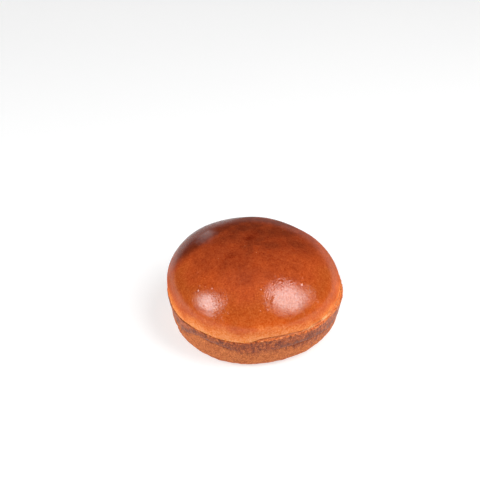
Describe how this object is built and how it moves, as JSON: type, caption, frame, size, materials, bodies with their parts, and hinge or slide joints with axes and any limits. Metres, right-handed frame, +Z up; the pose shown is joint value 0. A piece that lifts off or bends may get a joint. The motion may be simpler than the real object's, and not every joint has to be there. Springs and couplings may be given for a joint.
{
  "type": "brioche burger bun",
  "caption": "Whole round brioche bun baked in a shallow tin: flat base, tapered pale wall with a dark rim, torn seam and a low glazed dome.",
  "frame": {"origin": "middle of the bun's outline, on the flat base", "axes": "+Z up from the base to the top of the dome, -Y the front that the picture looks at, +X to its right"},
  "size_m": [0.11, 0.1088, 0.055],
  "materials": {
    "glazed_crust": "egg-glazed baked crust, semi-gloss brown dome over a matte tan wall with a dark upper rim"
  },
  "bodies": {
    "root": {"brioche_bun": "glazed_crust"}
  },
  "joints": []
}
